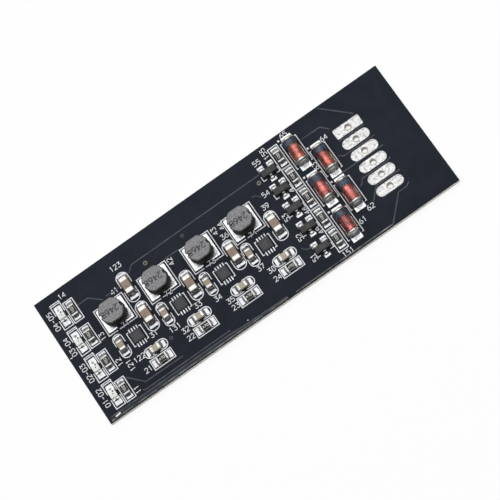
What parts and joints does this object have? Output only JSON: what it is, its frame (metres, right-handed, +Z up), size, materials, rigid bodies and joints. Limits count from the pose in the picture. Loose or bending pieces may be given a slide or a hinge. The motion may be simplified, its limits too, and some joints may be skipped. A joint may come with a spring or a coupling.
{
  "type": "battery balancer",
  "caption": "Bare black circuit board with a row of balancing stages, each with a drum-core coil, chip and capacitors, beside glass diodes, small lamps and plated wire pads.",
  "frame": {"origin": "centre of the board's underside", "axes": "+X along the board from the lamps to the wire pads, +Y across it to the far long edge, +Z up from the parts' side"},
  "size_m": [0.071, 0.025, 0.0044],
  "materials": {
    "solder_mask": "satin black solder mask over glass laminate",
    "tinned_copper": "bright uneven solder",
    "diode_metal": "satin plated metal",
    "silicon": "dark polished die",
    "lamp_resin": "clear resin over a white carrier",
    "resistor_black": "black glaze with tinned ends",
    "ferrite": "matt grey ferrite",
    "enamelled_wire": "glossy dark enamel on copper",
    "capacitor_tan": "matt tan ceramic with tinned ends",
    "capacitor_brown": "matt brown ceramic with tinned ends",
    "chip_grey": "fine-grained dark moulding",
    "transistor_black": "fine-grained black moulding with tinned leads",
    "diode_glass": "red-orange glass with a dark band"
  },
  "bodies": {
    "root": {"circuit_board": "solder_mask", "terminal_pads": "tinned_copper", "open_vias": "tinned_copper", "solder_lands": "tinned_copper", "diode_ends": "diode_metal", "diode_dies": "silicon", "indicator_lamp_1": "lamp_resin", "indicator_lamp_2": "lamp_resin", "indicator_lamp_3": "lamp_resin", "indicator_lamp_4": "lamp_resin", "lamp_resistor_1": "resistor_black", "lamp_resistor_2": "resistor_black", "lamp_resistor_3": "resistor_black", "lamp_resistor_4": "resistor_black", "inductor_core_1": "ferrite", "inductor_core_2": "ferrite", "inductor_core_3": "ferrite", "inductor_core_4": "ferrite", "inductor_winding_1": "enamelled_wire", "inductor_winding_2": "enamelled_wire", "inductor_winding_3": "enamelled_wire", "inductor_winding_4": "enamelled_wire", "supply_capacitor_1": "capacitor_tan", "supply_capacitor_2": "capacitor_tan", "supply_capacitor_3": "capacitor_tan", "supply_capacitor_4": "capacitor_tan", "balancer_chip_1": "chip_grey", "balancer_chip_2": "chip_grey", "balancer_chip_3": "chip_grey", "balancer_chip_4": "chip_grey", "filter_capacitor_1": "capacitor_tan", "filter_capacitor_2": "capacitor_tan", "filter_capacitor_3": "capacitor_tan", "filter_capacitor_4": "capacitor_tan", "sense_resistor_1": "resistor_black", "sense_resistor_2": "resistor_black", "sense_resistor_3": "resistor_black", "sense_resistor_4": "resistor_black", "cell_capacitor_1": "capacitor_brown", "cell_capacitor_2": "capacitor_brown", "cell_capacitor_3": "capacitor_brown", "cell_capacitor_4": "capacitor_brown", "cell_capacitor_5": "capacitor_brown", "transistor_1": "transistor_black", "transistor_2": "transistor_black", "transistor_3": "transistor_black", "transistor_4": "transistor_black", "transistor_5": "transistor_black", "gate_resistor_1": "resistor_black", "gate_resistor_2": "resistor_black", "gate_resistor_3": "resistor_black", "gate_resistor_4": "resistor_black", "gate_resistor_5": "resistor_black", "diode_glass_1": "diode_glass", "diode_glass_2": "diode_glass", "diode_glass_3": "diode_glass", "diode_glass_4": "diode_glass", "diode_glass_5": "diode_glass"}
  },
  "joints": []
}
